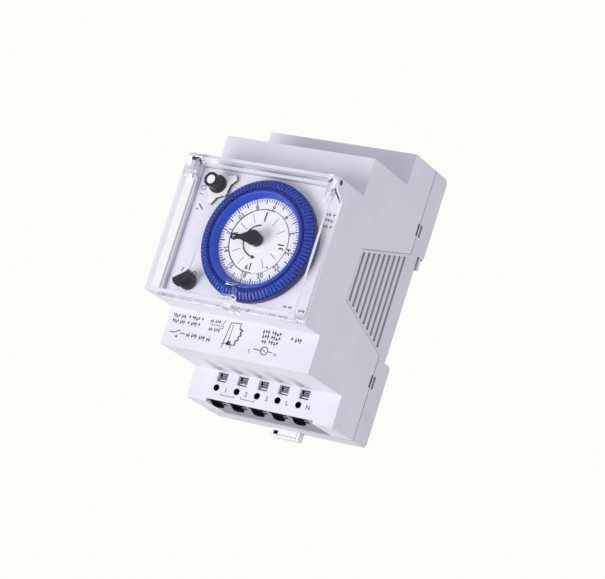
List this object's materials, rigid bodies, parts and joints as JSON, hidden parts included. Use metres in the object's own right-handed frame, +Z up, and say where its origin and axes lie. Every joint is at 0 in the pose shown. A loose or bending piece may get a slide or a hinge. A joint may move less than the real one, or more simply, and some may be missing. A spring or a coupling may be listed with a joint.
{
  "type": "rail-mounted analogue time switch",
  "caption": "Rail-mounted analogue day timer: stepped light case, hinged clear cover, turning programme ring with sliding tappets, override controls, wire terminals.",
  "frame": {"origin": "centre of the rail seat, the face that lies on the front of the 35 mm mounting rail", "axes": "+X to the right seen from the front, +Y towards the wall, +Z up"},
  "size_m": [0.054, 0.066, 0.0929],
  "materials": {
    "case": "fine textured light grey thermoplastic",
    "case_rear": "fine textured light grey thermoplastic",
    "panel": "smooth white plastic",
    "clear": "clear polycarbonate",
    "steel": "turned steel",
    "brass": "stamped brass",
    "plate": "moulded grey plastic",
    "face": "printed white plastic",
    "gear": "natural acetal",
    "ring": "glossy deep blue plastic",
    "knob": "dark charcoal plastic",
    "lever": "white plastic",
    "copper": "enamelled copper winding",
    "can": "plated motor can",
    "board": "glass fibre board with solder mask",
    "battery": "shrink sleeved cell",
    "capacitor": "film capacitor case",
    "chip": "moulded chip package",
    "component": "board components",
    "silver": "silver contact",
    "catch": "white acetal"
  },
  "bodies": {
    "case": {"front_housing": "case", "rear_base": "case_rear", "dial_panel": "panel", "movement_front_plate": "plate", "movement_back_plate": "plate", "plate_pillars": "brass", "plate_screws": "steel", "pillar_screws": "steel", "centre_face": "face", "motor_can": "can", "motor_coil": "copper", "motor_screws": "steel", "contact_pivot": "steel", "fixed_contacts": "brass", "switch_base": "chip", "terminal_carrier": "case_rear", "terminal_cages": "brass", "terminal_springs": "steel", "terminal_bars": "brass", "circuit_board": "board", "board_standoffs": "gear", "standby_battery": "battery", "capacitors": "capacitor", "control_chip": "chip", "quartz_crystal": "can", "board_parts": "component", "catch_spring": "steel"},
    "cover": {"cover": "clear", "cover_nose": "clear", "hinge_pins": "steel"},
    "dial": {"dial_wheel": "gear", "dial_plate": "gear", "ring_carrier": "ring", "dial_scale": "face", "tappet_set": "ring"},
    "minute": {"minute_arbor": "steel", "minute_wheel": "brass", "minute_knob": "knob", "minute_hand": "knob"},
    "idler": {"idler_arbor": "steel", "idler_wheel": "brass"},
    "motor_output": {"motor_pinion": "brass"},
    "override": {"override_lever": "lever", "override_plate": "knob", "override_knob": "knob", "override_inlay": "face", "override_shaft": "steel", "override_cam": "gear"},
    "contact": {"contact_arm": "brass", "moving_contacts": "silver"},
    "selector": {"selector_knob": "knob", "selector_shaft": "steel", "selector_cam": "gear"},
    "catch": {"rail_catch": "catch"},
    "tappet_1": {"tappet_1": "ring"},
    "tappet_2": {"tappet_2": "ring"},
    "tappet_3": {"tappet_3": "ring"},
    "tappet_4": {"tappet_4": "ring"}
  },
  "joints": [
    {"name": "cover_hinge", "type": "hinge", "parent": "case", "child": "cover", "pos_m": [0, -0.0571, 0.0213], "axis": [-1, 0, 0], "range_deg": [0, 110]},
    {"name": "dial_turn", "type": "hinge", "parent": "case", "child": "dial", "pos_m": [0.003, -0.05, 0], "axis": [0, 1, 0], "continuous": true},
    {"name": "minute_turn", "type": "hinge", "parent": "case", "child": "minute", "pos_m": [0.003, -0.045, 0], "axis": [0, 1, 0], "continuous": true},
    {"name": "idler_turn", "type": "hinge", "parent": "case", "child": "idler", "pos_m": [-0.00442, -0.043, 0.00742], "axis": [0, 1, 0], "continuous": true},
    {"name": "motor_turn", "type": "hinge", "parent": "case", "child": "motor_output", "pos_m": [0.01064, -0.038, -0.00764], "axis": [0, 1, 0], "continuous": true},
    {"name": "override_turn", "type": "hinge", "parent": "case", "child": "override", "pos_m": [-0.0176, -0.05, 0.0156], "axis": [0, 1, 0], "range_deg": [-7, 7]},
    {"name": "contact_turn", "type": "hinge", "parent": "case", "child": "contact", "pos_m": [-0.0176, -0.043, -0.004], "axis": [0, 1, 0], "range_deg": [-6, 6]},
    {"name": "selector_turn", "type": "hinge", "parent": "case", "child": "selector", "pos_m": [-0.0176, -0.05, -0.016], "axis": [0, 1, 0], "range_deg": [-40, 40]},
    {"name": "catch_slide", "type": "slide", "parent": "case", "child": "catch", "axis": [0, 0, -1], "range_m": [0, 0.003], "stiffness_N_per_m": 800, "springref_m": -0.002, "deforming": ["catch_spring"]},
    {"name": "tappet_1_push", "type": "slide", "parent": "dial", "child": "tappet_1", "axis": [-0.098, 0, -0.9952], "range_m": [0, 0.0009]},
    {"name": "tappet_2_push", "type": "slide", "parent": "dial", "child": "tappet_2", "axis": [-0.0327, 0, -0.9995], "range_m": [0, 0.0009]},
    {"name": "tappet_3_push", "type": "slide", "parent": "dial", "child": "tappet_3", "axis": [0.0327, 0, -0.9995], "range_m": [0, 0.0009]},
    {"name": "tappet_4_push", "type": "slide", "parent": "dial", "child": "tappet_4", "axis": [0.098, 0, -0.9952], "range_m": [0, 0.0009]}
  ],
  "couplings": [
    {"joint": "minute_turn", "follows": "dial_turn", "ratio": 24},
    {"joint": "idler_turn", "follows": "dial_turn", "ratio": -6},
    {"joint": "motor_turn", "follows": "dial_turn", "ratio": -120},
    {"joint": "contact_turn", "follows": "override_turn", "ratio": -0.63333}
  ]
}
